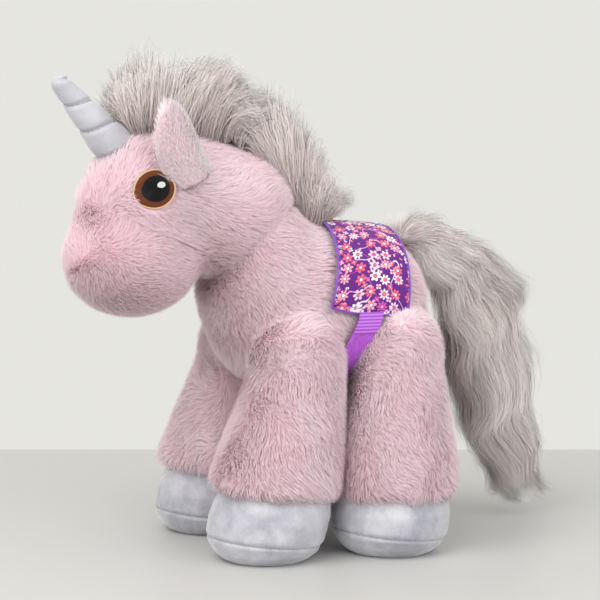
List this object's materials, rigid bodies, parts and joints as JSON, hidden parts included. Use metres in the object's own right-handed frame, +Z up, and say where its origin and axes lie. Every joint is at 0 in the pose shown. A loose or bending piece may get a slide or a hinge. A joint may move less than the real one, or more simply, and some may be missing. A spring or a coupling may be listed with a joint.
{
  "type": "plush unicorn",
  "caption": "Standing plush unicorn soft toy with a stuffed horn, long-pile mane and tail, satin hooves and a printed saddle cloth on a girth strap.",
  "frame": {"origin": "middle of the toy's box at floor level, soles on z = 0", "axes": "the toy faces -Y, its left side is +X, +Z is up"},
  "size_m": [0.178, 0.3233, 0.284],
  "materials": {
    "pink_plush": "long soft pile, dusty pink",
    "muzzle_plush": "short dense pile, deeper pink",
    "polyester_filling": "loose white fibre fill",
    "pellet_bag": "woven bag of plastic pellets",
    "silver_velboa": "short shiny silver-grey pile",
    "taupe_long_pile": "long wavy taupe-grey pile with light tips",
    "grey_thread": "sewing thread",
    "printed_cotton": "purple cotton with a small floral print",
    "violet_lining": "plain violet cotton",
    "violet_webbing": "smooth violet webbing",
    "cream_thread": "satin-stitch embroidery",
    "rust_thread": "satin-stitch embroidery",
    "black_thread": "satin-stitch embroidery",
    "white_thread": "satin-stitch embroidery"
  },
  "bodies": {
    "torso": {"body_cover": "pink_plush", "body_stuffing": "polyester_filling", "mane_pile": "taupe_long_pile", "saddle_cloth": "printed_cotton", "saddle_lining": "violet_lining", "girth_strap": "violet_webbing"},
    "neck": {"neck_stuffing": "polyester_filling"},
    "head": {"head_cover": "pink_plush", "muzzle_panel": "muzzle_plush", "head_stuffing": "polyester_filling", "horn_cover": "silver_velboa", "horn_stuffing": "polyester_filling", "horn_thread": "grey_thread", "forelock_pile": "taupe_long_pile", "left_eye_outline": "cream_thread", "left_eye_iris": "rust_thread", "left_eye_pupil": "black_thread", "left_eye_highlight": "white_thread", "right_eye_outline": "cream_thread", "right_eye_iris": "rust_thread", "right_eye_pupil": "black_thread", "right_eye_highlight": "white_thread"},
    "left_ear": {"left_ear_outer": "pink_plush", "left_ear_lining": "silver_velboa"},
    "right_ear": {"right_ear_outer": "pink_plush", "right_ear_lining": "silver_velboa"},
    "tail_root": {"tail_root_tab": "taupe_long_pile"},
    "tail": {"tail_pile": "taupe_long_pile"},
    "front_left_leg": {"front_left_leg_cover": "pink_plush", "front_left_leg_stuffing": "polyester_filling", "front_left_hoof_cover": "silver_velboa", "front_left_hoof_sole": "silver_velboa", "front_left_hoof_pellets": "pellet_bag"},
    "rear_left_leg": {"rear_left_leg_cover": "pink_plush", "rear_left_leg_stuffing": "polyester_filling", "rear_left_hoof_cover": "silver_velboa", "rear_left_hoof_sole": "silver_velboa", "rear_left_hoof_pellets": "pellet_bag"},
    "front_right_leg": {"front_right_leg_cover": "pink_plush", "front_right_leg_stuffing": "polyester_filling", "front_right_hoof_cover": "silver_velboa", "front_right_hoof_sole": "silver_velboa", "front_right_hoof_pellets": "pellet_bag"},
    "rear_right_leg": {"rear_right_leg_cover": "pink_plush", "rear_right_leg_stuffing": "polyester_filling", "rear_right_hoof_cover": "silver_velboa", "rear_right_hoof_sole": "silver_velboa", "rear_right_hoof_pellets": "pellet_bag"}
  },
  "joints": [
    {"name": "head_turn", "type": "hinge", "parent": "torso", "child": "neck", "pos_m": [0, -0.0553, 0.196], "axis": [0, 0, 1], "range_deg": [-18, 18], "stiffness_Nm_per_rad": 1.5},
    {"name": "head_nod", "type": "hinge", "parent": "neck", "child": "head", "pos_m": [0, -0.0553, 0.196], "axis": [-1, 0, 0], "range_deg": [-3, 10], "stiffness_Nm_per_rad": 6},
    {"name": "left_ear_flop", "type": "hinge", "parent": "head", "child": "left_ear", "pos_m": [0.0355, -0.0933, 0.221], "axis": [-0.4718, 0.8173, 0.3309], "range_deg": [-8, 45], "stiffness_Nm_per_rad": 0.05},
    {"name": "right_ear_flop", "type": "hinge", "parent": "head", "child": "right_ear", "pos_m": [-0.0355, -0.0933, 0.221], "axis": [-0.4718, -0.8173, -0.3309], "range_deg": [-8, 45], "stiffness_Nm_per_rad": 0.05},
    {"name": "tail_lift", "type": "hinge", "parent": "torso", "child": "tail_root", "pos_m": [0, 0.0557, 0.18], "axis": [1, 0, 0], "range_deg": [0, 40]},
    {"name": "tail_swing", "type": "hinge", "parent": "tail_root", "child": "tail", "pos_m": [0, 0.0727, 0.181], "axis": [0, 0, 1], "range_deg": [-25, 25]},
    {"name": "front_left_hip", "type": "hinge", "parent": "torso", "child": "front_left_leg", "pos_m": [0.041, -0.0273, 0.112], "axis": [-1, 0, 0], "range_deg": [0, 7], "stiffness_Nm_per_rad": 3},
    {"name": "rear_left_hip", "type": "hinge", "parent": "torso", "child": "rear_left_leg", "pos_m": [0.05, 0.0317, 0.112], "axis": [1, 0, 0], "range_deg": [0, 15], "stiffness_Nm_per_rad": 3},
    {"name": "front_right_hip", "type": "hinge", "parent": "torso", "child": "front_right_leg", "pos_m": [-0.041, -0.0273, 0.112], "axis": [-1, 0, 0], "range_deg": [0, 7], "stiffness_Nm_per_rad": 3},
    {"name": "rear_right_hip", "type": "hinge", "parent": "torso", "child": "rear_right_leg", "pos_m": [-0.05, 0.0317, 0.112], "axis": [1, 0, 0], "range_deg": [0, 15], "stiffness_Nm_per_rad": 3}
  ]
}
